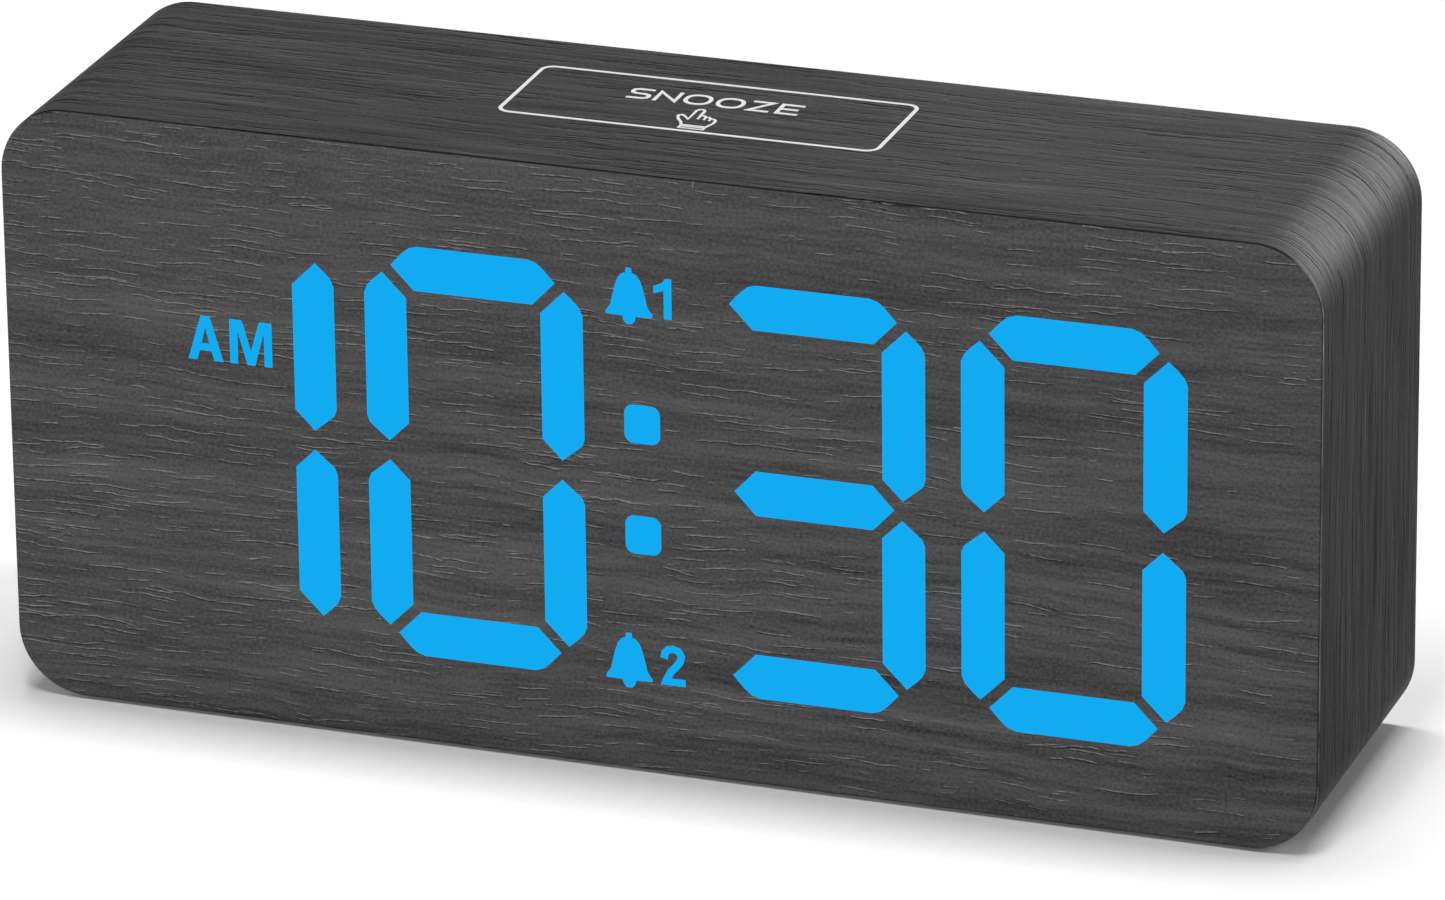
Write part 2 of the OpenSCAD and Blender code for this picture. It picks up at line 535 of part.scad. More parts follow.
module battery_lead_black() color([0.05, 0.05, 0.05])
    lead(bx - bay_l / 2 - 2.4, y_tray0 + 4.85, 0, y_main0, y_tray0 - 1.4, bz + 11, 0.6);
module battery_lead_red() color([0.75, 0.08, 0.06])
    lead(bx + bay_l / 2 + 2.4, y_tray0 + 4.85, 0, y_main0, y_tray0 + 1.2, bz - 11, 0.6);

// Door: plate, two tabs at its upper edge, sprung tongue at its lower edge
module battery_door() color([0.12, 0.12, 0.13]) {
    dl = rec_l - 2 * door_gap;
    dh = rec_h - 2 * door_gap;
    z_top = hinge_z - door_gap;
    z_bot = z_top - dh;
    union() {
        plate(y_cover1 - 1.4, y_cover1) translate([bx, bz]) square([dl, dh], center = true);
        for (x = tab_x) {
            translate([x - 3, y_cover1 - 3.9, z_top - 2]) cube([6, 3.9, 2]);
            translate([x - 3, y_cover1 - 3.9, z_top - 1]) cube([6, 1.1, 3.6]);
        }
        // tongue with its thumb ridges
        translate([bx - 5, y_cover1 - 3.3, z_bot + 3]) cube([10, 2.3, 1]);
        translate([bx - 4, y_cover1 - 3.1, z_bot + 2.6]) cube([8, 0.8, 0.8]);
        for (i = [0:3]) translate([bx - 6 + i * 0.6, y_cover1 - 0.5, z_bot + 3 + i * 1.6]) cube([12 - i * 1.2, 0.9, 0.7]);
    }
}

case_sleeve();
wrap_film();
front_film();
front_panel();
color([0.07, 0.67, 0.95]) plate(yf, y_panel0) lit_segments();  // lit_digits
color([0.07, 0.67, 0.95]) plate(yf, y_panel0) lit_dots();  // lit_colon
color([0.07, 0.67, 0.95]) plate(yf, y_panel0) indicators();  // lit_indicators
snooze_print();
diffuser_sheet();
light_mask();
display_board();
segment_leds();
led_driver_chip();
mask_screws();
display_header();
ribbon_cable();
main_header();
main_board();
main_board_screws();
microcontroller();
clock_crystal();
filter_capacitor();
buzzer();
switch_bodies();
power_jack();
power_jack_pin();
touch_foil();
touch_wire();
corner_blocks();
rear_cover();
rear_cover_screws();
control_marks();
battery_tray();
battery_springs();
battery_plates();
battery_lead_red();
battery_lead_black();
rubber_feet();
key_set();
key_up();
key_down();
key_alarm_1();
key_alarm_2();
plunger_set();
plunger_up();
plunger_down();
plunger_alarm_1();
plunger_alarm_2();
battery_door();
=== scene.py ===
# Visual model of a digital alarm clock: a wood-grain box with a lit segment display.
import json
import math

import bmesh
import bpy
from mathutils import Matrix, Vector
from mathutils.geometry import tessellate_polygon


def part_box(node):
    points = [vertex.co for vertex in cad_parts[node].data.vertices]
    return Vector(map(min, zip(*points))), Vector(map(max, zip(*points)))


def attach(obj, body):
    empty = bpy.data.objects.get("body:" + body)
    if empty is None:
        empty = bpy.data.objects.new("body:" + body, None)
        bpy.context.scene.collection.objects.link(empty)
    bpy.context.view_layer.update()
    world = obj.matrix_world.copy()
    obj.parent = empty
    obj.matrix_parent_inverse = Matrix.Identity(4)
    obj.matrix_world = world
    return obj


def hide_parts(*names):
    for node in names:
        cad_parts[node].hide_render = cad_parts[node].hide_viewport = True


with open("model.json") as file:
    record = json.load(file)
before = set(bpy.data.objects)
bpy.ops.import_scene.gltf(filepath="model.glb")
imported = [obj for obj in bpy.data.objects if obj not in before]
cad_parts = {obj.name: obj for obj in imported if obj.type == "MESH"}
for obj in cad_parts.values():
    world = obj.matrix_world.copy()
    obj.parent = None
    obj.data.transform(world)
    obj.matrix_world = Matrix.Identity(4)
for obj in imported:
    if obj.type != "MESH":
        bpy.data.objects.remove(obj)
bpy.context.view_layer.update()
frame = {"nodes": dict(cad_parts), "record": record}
nodes = frame["nodes"]
MM = 0.001

# ---------------------------------------------------------------- positions
wrap_lo, wrap_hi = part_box("wrap_film")
film_lo, film_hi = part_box("front_film")
Y_FRONT = film_lo.y               # front face
Y_SEAM = wrap_lo.y                # where the front film meets the wrap
Y_REAR = wrap_hi.y
ZC = (wrap_lo.z + wrap_hi.z) / 2
HALF_W = wrap_hi.x
HALF_H = (wrap_hi.z - wrap_lo.z) / 2
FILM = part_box("case_sleeve")[0].x - wrap_lo.x   # film thickness
R_CORNER = 7.8 * MM

# ------------------------------------------------------- camera, light, floor
scene = bpy.context.scene
scene.view_settings.view_transform = "Standard"
scene.view_settings.look = "None"
scene.view_settings.exposure = 0.0
scene.view_settings.gamma = 1.0

cam_data = bpy.data.cameras.new("camera")
cam_data.sensor_fit = "HORIZONTAL"
cam_data.sensor_width = 36.0
cam_data.lens = 252.67
cam_data.clip_start = 0.05
cam_data.clip_end = 20.0
cam = bpy.data.objects.new("camera", cam_data)
scene.collection.objects.link(cam)
right = Vector((0.94299316, 0.33263073, -0.01098634))
down = Vector((0.11330597, -0.35190595, -0.92915228))
ahead = Vector((-0.31293076, 0.87493943, -0.36953395))
m = Matrix.Identity(4)
for i in range(3):
    m[i][0], m[i][1], m[i][2] = right[i], -down[i], -ahead[i]
m[0][3], m[1][3], m[2][3] = 0.3486255, -0.9707079, 0.4409079
cam.matrix_world = m
scene.camera = cam


def area(name, loc, target, size, power, size_y=None, spread=180.0, color=(1, 1, 1)):
    d = bpy.data.lights.new(name, "AREA")
    d.energy = power
    d.color = color
    d.size = size
    if size_y:
        d.shape = "RECTANGLE"
        d.size_y = size_y
    d.spread = math.radians(spread)
    o = bpy.data.objects.new(name, d)
    scene.collection.objects.link(o)
    o.location = loc
    # width level, height as upright as the direction allows
    a = (Vector(target) - Vector(loc)).normalized()
    x = a.cross(Vector((0, 1, 0)) if abs(a.z) > 0.99 else Vector((0, 0, 1))).normalized()
    y = x.cross(a)
    o.rotation_euler = Matrix((x, y, -a)).transposed().to_euler()
    return o


area("key", (0.082, 0.112, 1.30), (0, 0, 0), 0.80, 10.5, size_y=0.21)
area("front_top", (0.025, -0.382, 1.30), (0, 0, 0), 0.13, 5.6, size_y=0.47)
area("front_fill", (-0.12, -1.3, 0.33), (0, 0, 0.035), 0.7, 7.1)
right_fill = area("right_fill", (1.0, 0.1, 0.7), (0, 0, 0.035), 0.5, 2.6)
area("left_fill", (-1.0, 0.0, 0.4), (0, 0, 0.035), 0.7, 2.9)
area("back_fill", (0.0, 1.1, 0.45), (0, 0, 0.035), 0.8, 1.0, size_y=0.3)
corner_strip = area("corner_strip", (0.42, 1.02, 0.27), (0.06, 0, 0.06), 0.95, 15.6, size_y=0.37)

world = bpy.data.worlds.new("studio")
scene.world = world
world.use_nodes = True
wn = world.node_tree
wn.nodes.clear()
w_out = wn.nodes.new("ShaderNodeOutputWorld")
w_bg = wn.nodes.new("ShaderNodeBackground")
w_co = wn.nodes.new("ShaderNodeTexCoord")
w_sep = wn.nodes.new("ShaderNodeSeparateXYZ")
w_ramp = wn.nodes.new("ShaderNodeValToRGB")
wn.links.new(w_co.outputs["Generated"], w_sep.inputs[0])
wn.links.new(w_sep.outputs["Z"], w_ramp.inputs[0])
w_ramp.color_ramp.elements[0].position = 0.0
w_ramp.color_ramp.elements[0].color = (0.05, 0.05, 0.05, 1)
w_ramp.color_ramp.elements[1].position = 0.9
w_ramp.color_ramp.elements[1].color = (0.09, 0.09, 0.09, 1)
e = w_ramp.color_ramp.elements.new(0.45)
e.color = (0.06, 0.06, 0.06, 1)
wn.links.new(w_ramp.outputs[0], w_bg.inputs[0])
w_bg.inputs[1].default_value = 1.0
wn.links.new(w_bg.outputs[0], w_out.inputs[0])


# ---------------------------------------------------------------- materials
class Graph:
    """Small helper that builds one node material."""

    def __init__(self, name):
        self.mat = bpy.data.materials.new(name)
        self.mat.use_nodes = True
        self.t = self.mat.node_tree
        self.t.nodes.clear()
        self.out = self.t.nodes.new("ShaderNodeOutputMaterial")
        self.b = self.t.nodes.new("ShaderNodeBsdfPrincipled")
        self.t.links.new(self.b.outputs[0], self.out.inputs["Surface"])

    def put(self, sock, v):
        if hasattr(v, "is_linked") or hasattr(v, "links"):
            self.t.links.new(v, sock)
        elif isinstance(v, (tuple, list)) and len(v) == 3 and len(sock.default_value) == 4:
            sock.default_value = (*v, 1.0)
        else:
            sock.default_value = v

    def set(self, **kw):
        names = {"color": "Base Color", "rough": "Roughness", "metal": "Metallic", "spec": "Specular IOR Level",
                 "normal": "Normal", "emit": "Emission Color", "emit_power": "Emission Strength", "coat": "Coat Weight",
                 "coat_rough": "Coat Roughness", "ior": "IOR", "sheen": "Sheen Weight", "trans": "Transmission Weight",
                 "aniso": "Anisotropic", "sub": "Subsurface Weight"}
        for k, v in kw.items():
            self.put(self.b.inputs[names[k]], v)
        return self

    def obj(self, scale=1000.0):
        c = self.t.nodes.new("ShaderNodeTexCoord")
        return self.vec("SCALE", c.outputs["Object"], scale=scale)

    def attr(self, name):
        a = self.t.nodes.new("ShaderNodeAttribute")
        a.attribute_name = name
        return a.outputs["Vector"]

    def vec(self, op, a, b=None, scale=None):
        n = self.t.nodes.new("ShaderNodeVectorMath")
        n.operation = op
        self.put(n.inputs[0], a)
        if b is not None:
            self.put(n.inputs[1], b)
        if scale is not None:
            self.put(n.inputs["Scale"], scale)
        return n.outputs[0]

    def sep(self, v):
        n = self.t.nodes.new("ShaderNodeSeparateXYZ")
        self.put(n.inputs[0], v)
        return n.outputs

    def comb(self, x, y, z=0.0):
        n = self.t.nodes.new("ShaderNodeCombineXYZ")
        for i, v in enumerate((x, y, z)):
            self.put(n.inputs[i], v)
        return n.outputs[0]

    def m(self, op, a, b=None, c=None, clamp=False):
        n = self.t.nodes.new("ShaderNodeMath")
        n.operation = op
        n.use_clamp = clamp
        for i, v in enumerate((a, b, c)):
            if v is not None:
                self.put(n.inputs[i], v)
        return n.outputs[0]

    def noise(self, v, scale=1.0, detail=2.0, rough=0.5, distort=0.0, out=0):
        n = self.t.nodes.new("ShaderNodeTexNoise")
        self.put(n.inputs["Vector"], v)
        n.inputs["Scale"].default_value = scale
        n.inputs["Detail"].default_value = detail
        n.inputs["Roughness"].default_value = rough
        n.inputs["Distortion"].default_value = distort
        return n.outputs[out]

    def voronoi(self, v, scale=1.0, feature="F1", rand=1.0):
        n = self.t.nodes.new("ShaderNodeTexVoronoi")
        n.feature = feature
        self.put(n.inputs["Vector"], v)
        n.inputs["Scale"].default_value = scale
        n.inputs["Randomness"].default_value = rand
        return n.outputs[0]

    def range(self, v, a, b, c=0.0, d=1.0, smooth=True):
        n = self.t.nodes.new("ShaderNodeMapRange")
        n.interpolation_type = "SMOOTHSTEP" if smooth else "LINEAR"
        self.put(n.inputs[0], v)
        for i, x in enumerate((a, b, c, d)):
            n.inputs[i + 1].default_value = x
        return n.outputs[0]

    def mix(self, f, a, b):
        n = self.t.nodes.new("ShaderNodeMix")
        n.data_type = "RGBA"
        self.put(n.inputs[0], f)
        self.put(n.inputs[6], a)
        self.put(n.inputs[7], b)
        return n.outputs[2]

    def tint(self, color, f):
        """color times the grey value f, as a colour output"""
        n = self.t.nodes.new("ShaderNodeVectorMath")
        n.operation = "SCALE"
        n.inputs[0].default_value = color
        self.put(n.inputs["Scale"], f)
        return n.outputs[0]

    def bump(self, height, strength=1.0, dist=0.0001, normal=None):
        n = self.t.nodes.new("ShaderNodeBump")
        n.inputs["Strength"].default_value = strength
        n.inputs["Distance"].default_value = dist
        self.put(n.inputs["Height"], height)
        if normal is not None:
            self.put(n.inputs["Normal"], normal)
        return n.outputs[0]


def pores(g, along, across, cell, half, thick, keep, seed, wobble=0.35, gap=1.9):
    """Short cuts that run along the grain: one at most in every cell of a jittered grid.
    along and across are in mm; cell is (length, width) of a grid cell, half the range of a cut's half length and
    thick its half width, all in mm. Returns the cut itself and the line that runs beside it. The front film uses that
    line as painted shade and the wrap uses it as a painted highlight."""
    wob = g.noise(g.comb(g.m("MULTIPLY", along, 0.55), g.m("MULTIPLY", across, 0.5), seed), 1.0, 1.0)
    ac = g.m("ADD", across, g.m("MULTIPLY", g.m("SUBTRACT", wob, 0.5), wobble))
    uv = g.comb(g.m("ADD", g.m("MULTIPLY", along, 1.0 / cell[0]), seed * 3.7), g.m("ADD", g.m("MULTIPLY", ac, 1.0 / cell[1]), seed * 1.9))
    n = g.t.nodes.new("ShaderNodeTexVoronoi")
    n.voronoi_dimensions = "2D"
    n.feature = "F1"
    n.inputs["Scale"].default_value = 1.0
    n.inputs["Randomness"].default_value = 0.85
    g.put(n.inputs["Vector"], uv)
    d = g.sep(g.vec("SUBTRACT", uv, n.outputs["Position"]))
    r = g.sep(n.outputs["Color"])
    dx = g.m("MULTIPLY", d[0], cell[0])
    dy = g.m("ADD", g.m("MULTIPLY", d[1], cell[1]), g.m("MULTIPLY", dx, g.m("MULTIPLY", g.m("SUBTRACT", r[1], 0.5), 0.10)))
    t = g.m("DIVIDE", g.m("ABSOLUTE", dx), g.range(r[0], 0.0, 1.0, half[0], half[1], smooth=False))
    run = g.range(t, 0.55, 1.0, 1.0, 0.0)
    on = g.m("MULTIPLY", run, g.m("LESS_THAN", r[2], keep))
    line = g.m("MULTIPLY", on, g.range(g.m("ABSOLUTE", dy), thick * 0.5, thick * 1.5, 1.0, 0.0))
    side = g.m("MULTIPLY", on, g.range(g.m("ABSOLUTE", g.m("ADD", dy, thick * gap)), thick * 0.5, thick * 1.5, 1.0, 0.0))
    return line, side


def front_film_material():
    g = Graph("film_front")
    s = g.sep(g.obj())
    x, z = s[0], s[2]
    # slow waves in the grain, stronger low down
    wave = g.noise(g.comb(g.m("MULTIPLY", x, 0.030), g.m("MULTIPLY", z, 0.06)), 1.0, 2.0)
    wave2 = g.noise(g.comb(g.m("MULTIPLY", x, 0.11), g.m("MULTIPLY", z, 0.12), 7.0), 1.0, 1.0)
    amp = g.range(z, 60.0, 14.0, 1.6, 4.2)
    zz = g.m("ADD", z, g.m("MULTIPLY", g.m("SUBTRACT", wave, 0.5), amp))
    zz = g.m("ADD", zz, g.m("MULTIPLY", g.m("SUBTRACT", wave2, 0.5), 0.9))
    # broad bands
    band = g.noise(g.comb(g.m("MULTIPLY", x, 0.014), g.m("MULTIPLY", zz, 0.20), 3.0), 1.0, 3.0, 0.5)
    # softer wavy streaks, clearest low down and to the right
    streak = g.noise(g.comb(g.m("MULTIPLY", x, 0.040), g.m("MULTIPLY", zz, 0.70), 11.0), 1.0, 3.0, 0.55)
    # fibres
    fibre = g.noise(g.comb(g.m("MULTIPLY", x, 0.16), g.m("MULTIPLY", zz, 2.2), 19.0), 1.0, 2.0, 0.6)
    # fine grain of the film itself
    speck = g.noise(g.comb(g.m("MULTIPLY", x, 2.6), g.m("MULTIPLY", z, 3.0), 5.0), 1.0, 2.0)
    # where the pores crowd together
    crowd = g.noise(g.comb(g.m("MULTIPLY", x, 0.05), g.m("MULTIPLY", zz, 0.11), 43.0), 1.0, 2.0)
    side = g.range(x, 60.0, -75.0, -0.05, 0.07, smooth=False)
    crowd = g.m("ADD", crowd, side)
    crowd2 = g.noise(g.comb(g.m("MULTIPLY", x, 0.06), g.m("MULTIPLY", zz, 0.14), 71.0), 1.0, 2.0)
    crowd2 = g.m("ADD", crowd2, side)
    # Pores: light dashes, partly the film's own light pores and partly a painted highlight on their raised edge. The
    # dark line beside each is painted shade.
    la, da = pores(g, x, zz, (9.0, 1.10), (1.2, 4.4), 0.060, g.range(crowd, 0.37, 0.62, 0.04, 0.80), 1.3)
    lb, db = pores(g, x, zz, (4.8, 0.78), (0.5, 2.0), 0.052, g.range(crowd2, 0.41, 0.63, 0.0, 0.66), 6.1)
    lc, dc = pores(g, x, zz, (16.0, 2.0), (3.0, 7.0), 0.062, g.range(crowd, 0.43, 0.61, 0.06, 0.55), 9.7, wobble=0.6)
    light = g.m("MAXIMUM", g.m("MAXIMUM", la, g.m("MULTIPLY", lb, 0.75)), lc)
    dark = g.m("MAXIMUM", g.m("MAXIMUM", da, g.m("MULTIPLY", db, 0.75)), dc)
    # the cuts are broken up and uneven
    patchy = g.noise(g.comb(g.m("MULTIPLY", x, 1.3), g.m("MULTIPLY", z, 1.6), 13.0), 1.0, 2.0)
    light = g.m("MULTIPLY", light, g.range(patchy, 0.30, 0.62, 0.25, 1.0))
    v = g.m("ADD", 1.0, g.m("MULTIPLY", g.m("SUBTRACT", band, 0.5), 1.25))
    sa = g.m("ADD", g.range(z, 62.0, 20.0, 0.45, 1.45), g.range(x, -60.0, 60.0, 0.0, 0.50))
    v = g.m("ADD", v, g.m("MULTIPLY", g.m("SUBTRACT", streak, 0.5), sa))
    v = g.m("ADD", v, g.m("MULTIPLY", g.m("SUBTRACT", fibre, 0.5), 1.05))
    v = g.m("ADD", v, g.m("MULTIPLY", g.m("SUBTRACT", speck, 0.5), 1.5))
    v = g.m("ADD", v, g.m("MULTIPLY", light, 2.5))
    v = g.m("SUBTRACT", v, g.m("MULTIPLY", dark, 0.80))
    v = g.m("MAXIMUM", v, 0.12)
    # darker along the rounded outer edge: the film's dark cut edge and painted shade of the seam groove with the wrap
    edge = g.range(s[1], Y_FRONT / MM + 0.05, Y_FRONT / MM + 0.14, 1.0, 0.22)
    v = g.m("MULTIPLY", v, edge)
    # painted shade along the bottom edge, where the front meets the floor
    v = g.m("MULTIPLY", v, g.range(z, (ZC - HALF_H) / MM + 0.12, (ZC - HALF_H) / MM + 0.45, 0.35, 1.0))
    # a small nick in the film at the top edge
    nick = g.m("MULTIPLY", g.range(g.m("ABSOLUTE", g.m("SUBTRACT", x, 5.2)), 0.04, 0.09, 1.0, 0.0), g.range(z, (ZC + HALF_H) / MM - 1.1, (ZC + HALF_H) / MM - 0.8))
    v = g.m("ADD", v, g.m("MULTIPLY", nick, 1.6))
    h = g.m("ADD", g.m("MULTIPLY", fibre, 0.30), g.m("MULTIPLY", speck, 0.25))
    h = g.m("SUBTRACT", h, g.m("MULTIPLY", dark, 0.8))
    h = g.m("ADD", h, g.m("MULTIPLY", light, 0.5))
    g.set(color=g.tint((0.0548, 0.0548, 0.0555), v), spec=0.15,
          rough=g.range(streak, 0.3, 0.7, 0.58, 0.48), normal=g.bump(h, 0.5, 0.00005))
    return g.mat


def wrap_film_material():
    g = Graph("film_wrap")
    s = g.sep(g.attr("grain"))
    a, c = s[0], s[1]          # along the grain and across it, in mm
    x = g.m("ABSOLUTE", g.sep(g.obj())[0])
    ends = g.range(x, HALF_W / MM - 5.0, HALF_W / MM - 1.0)     # 1 on the two end faces
    wave = g.noise(g.comb(g.m("MULTIPLY", a, 0.03), g.m("MULTIPLY", c, 0.05)), 1.0, 2.0)
    cc = g.m("ADD", c, g.m("MULTIPLY", g.m("SUBTRACT", wave, 0.5), 2.4))
    band = g.noise(g.comb(g.m("MULTIPLY", a, 0.02), g.m("MULTIPLY", cc, 0.28), 3.0), 1.0, 2.0, 0.5)
    fibre = g.noise(g.comb(g.m("MULTIPLY", a, 0.055), g.m("MULTIPLY", cc, 1.25), 9.0), 1.0, 2.0, 0.45)
    streak = g.noise(g.comb(g.m("MULTIPLY", a, 0.040), g.m("MULTIPLY", cc, 0.75), 27.0), 1.0, 2.0, 0.5)
    crowd = g.noise(g.comb(g.m("MULTIPLY", a, 0.035), g.m("MULTIPLY", cc, 0.16), 51.0), 1.0, 2.0)
    crowd = g.m("ADD", crowd, g.m("MULTIPLY", ends, 0.06))
    # Dark pores of the grain. The light line beside each is a painted highlight on its edge.
    d1, l1 = pores(g, a, cc, (14.0, 1.05), (2.0, 6.5), 0.105, g.range(crowd, 0.36, 0.60, 0.15, 0.90), 2.3, gap=2.1)
    d2, l2 = pores(g, a, cc, (7.5, 0.72), (1.0, 3.2), 0.075, g.range(crowd, 0.40, 0.62, 0.05, 0.75), 4.9, gap=2.1)
    d3, l3 = pores(g, a, cc, (24.0, 2.1), (4.0, 11.0), 0.150, g.range(crowd, 0.40, 0.60, 0.20, 0.80), 8.3, wobble=0.7, gap=2.0)
    dark = g.m("MAXIMUM", g.m("MAXIMUM", d1, g.m("MULTIPLY", d2, 0.8)), g.m("MULTIPLY", d3, 0.85))
    light = g.m("MAXIMUM", g.m("MAXIMUM", l1, l2), g.m("MULTIPLY", l3, 0.6))
    patchy = g.noise(g.comb(g.m("MULTIPLY", a, 0.5), g.m("MULTIPLY", c, 1.3), 13.0), 1.0, 2.0)
    dark = g.m("MULTIPLY", dark, g.range(patchy, 0.30, 0.60, 0.35, 1.0))
    speck = g.noise(g.comb(g.m("MULTIPLY", a, 2.0), g.m("MULTIPLY", c, 3.0), 5.0), 1.0, 2.0)
    # The end faces get a lighter base tone than the top and bottom (1.28 against 1.04): painted light for how the ends
    # are lit.
    v = g.m("ADD", g.range(ends, 0.0, 1.0, 1.04, 1.28), g.m("MULTIPLY", g.m("SUBTRACT", band, 0.5), 1.0))
    v = g.m("ADD", v, g.m("MULTIPLY", g.m("SUBTRACT", fibre, 0.5), g.range(ends, 0.0, 1.0, 1.6, 2.0)))
    v = g.m("ADD", v, g.m("MULTIPLY", g.m("SUBTRACT", streak, 0.5), g.range(ends, 0.0, 1.0, 0.7, 2.3)))
    v = g.m("ADD", v, g.m("MULTIPLY", g.m("SUBTRACT", speck, 0.5), 1.2))
    v = g.m("SUBTRACT", v, g.m("MULTIPLY", dark, g.range(ends, 0.0, 1.0, 1.0, 0.85)))
    v = g.m("ADD", v, g.m("MULTIPLY", light, g.range(ends, 0.0, 1.0, 0.75, 0.80)))
    v = g.m("MAXIMUM", v, 0.10)
    # At the front lip: the film's dark cut edge with painted shade of the seam along the top and bottom, and a painted
    # highlight on the end faces. Darker towards the rear edge.
    lip = g.range(c, Y_SEAM / MM + 0.06, Y_SEAM / MM + 0.24, 1.0, 0.0)
    v = g.m("MULTIPLY", v, g.m("ADD", 1.0, g.m("MULTIPLY", lip, g.range(ends, 0.0, 1.0, -0.70, 3.0))))
    v = g.m("MULTIPLY", v, g.range(c, Y_REAR / MM - 0.10, Y_REAR / MM, 1.0, 0.5))
    h = g.m("ADD", g.m("MULTIPLY", fibre, 0.5), g.m("MULTIPLY", speck, 0.15))
    h = g.m("SUBTRACT", h, dark)
    # The wrap's base tone is set darker than the front film's (0.0385 against 0.0548), though it is the same film:
    # painted shade on the top and sides.
    g.set(color=g.tint((0.0385, 0.0385, 0.0390), v), spec=0.035,
          rough=g.range(dark, 0.0, 1.0, 0.48, 0.65), normal=g.bump(h, 0.45, 0.00006))
    return g.mat


def lit_material():
    g = Graph("lit_blue")
    s = g.sep(g.obj())
    n = g.noise(g.comb(g.m("MULTIPLY", s[0], 0.2), g.m("MULTIPLY", s[2], 1.6), 2.0), 1.0, 2.0)
    v = g.range(n, 0.2, 0.8, 0.98, 1.02, smooth=False)
    g.set(color=(0.0, 0.0, 0.0), rough=0.5, spec=0.0, emit=g.tint((0.00605, 0.4072, 0.8820), v), emit_power=1.0)
    return g.mat


def plastic(name, color, rough=0.45, grain=0.35, scale=9.0, var=0.16, spec=0.45, dist=0.00003, coat=0.0):
    """Moulded plastic: fine eroded texture, slight unevenness in colour and gloss."""
    g = Graph(name)
    v = g.obj()
    fine = g.noise(v, scale, 2.0, 0.6)
    slow = g.noise(v, 0.12, 3.0)
    f = g.m("ADD", 1.0, g.m("MULTIPLY", g.m("SUBTRACT", g.m("ADD", g.m("MULTIPLY", fine, 0.6), g.m("MULTIPLY", slow, 0.4)), 0.5), var))
    g.set(color=g.tint(color, f), rough=g.range(slow, 0.3, 0.7, rough - 0.025, rough + 0.025), spec=spec,
          normal=g.bump(fine, grain, dist))
    if coat:
        g.set(coat=coat, coat_rough=0.1)
    return g.mat


def metal(name, color, rough=0.3, axis=2, scratch=0.4, var=0.12):
    """Plated or drawn metal with fine turning or rolling lines across one axis."""
    g = Graph(name)
    v = g.obj()
    k = [0.6, 0.6, 0.6]
    k[axis] = 9.0
    lines = g.noise(g.vec("MULTIPLY", v, tuple(k)), 1.0, 2.0, 0.6)
    slow = g.noise(v, 0.7, 2.0)
    f = g.m("ADD", 1.0, g.m("MULTIPLY", g.m("SUBTRACT", slow, 0.5), var))
    g.set(color=g.tint(color, f), metal=1.0, rough=g.range(lines, 0.25, 0.75, rough - 0.08, rough + 0.1),
          normal=g.bump(lines, scratch, 0.00001))
    return g.mat


def ink(name, color):
    g = Graph(name)
    v = g.obj()
    n = g.noise(v, 6.0, 2.0)
    g.set(color=g.tint(color, g.range(n, 0.25, 0.75, 0.93, 1.0)), rough=g.range(n, 0.3, 0.7, 0.45, 0.6), spec=0.3,
          normal=g.bump(n, 0.3, 0.00001))
    return g.mat


def rubber(name, color):
    g = Graph(name)
    v = g.obj()
    n = g.noise(v, 4.0, 3.0, 0.7)
    g.set(color=g.tint(color, g.range(n, 0.2, 0.8, 0.8, 1.25)), rough=g.range(n, 0.3, 0.7, 0.75, 0.9), spec=0.25,
          normal=g.bump(n, 0.6, 0.00005))
    return g.mat


def board(name, base=(0.012, 0.085, 0.032), trace=(0.02, 0.15, 0.055)):
    """Solder mask with copper traces showing through it, and tinned pads."""
    g = Graph(name)
    s = g.sep(g.obj())
    v = g.comb(s[0], s[2])
    cells = g.voronoi(g.vec("MULTIPLY", v, (0.22, 0.22, 0.0)), 1.0, "DISTANCE_TO_EDGE", 0.65)
    tr = g.range(cells, 0.035, 0.055, 1.0, 0.0)
    dots = g.voronoi(g.vec("MULTIPLY", v, (0.3, 0.3, 0.0)), 1.0, "F1", 0.8)
    pad = g.range(dots, 0.13, 0.15, 1.0, 0.0)
    col = g.mix(tr, base, trace)
    col = g.mix(pad, col, (0.62, 0.60, 0.52))
    n = g.noise(g.obj(), 3.0, 2.0)
    g.set(color=col, rough=g.range(n, 0.3, 0.7, 0.28, 0.38), spec=0.5,
          normal=g.bump(g.m("ADD", tr, pad), 0.3, 0.00004))
    return g.mat


def fibreboard():
    g = Graph("fibreboard")
    v = g.obj()
    s = g.sep(v)
    n = g.noise(v, 1.6, 4.0, 0.7)
    f = g.noise(g.vec("MULTIPLY", v, (0.7, 0.7, 0.7)), 6.0, 2.0)
    col = g.mix(g.range(n, 0.3, 0.7), (0.16, 0.105, 0.062), (0.26, 0.18, 0.115))
    # the cut rim and the rebate at the rear are stained dark to match the film
    rim = g.range(s[1], Y_REAR / MM - 4.3, Y_REAR / MM - 4.0)
    stain = g.mix(g.range(f, 0.35, 0.65), (0.020, 0.019, 0.018), (0.032, 0.030, 0.028))
    g.set(color=g.mix(rim, col, stain), rough=g.range(n, 0.3, 0.7, 0.75, 0.9), spec=0.2, normal=g.bump(f, 0.5, 0.00008))
    return g.mat


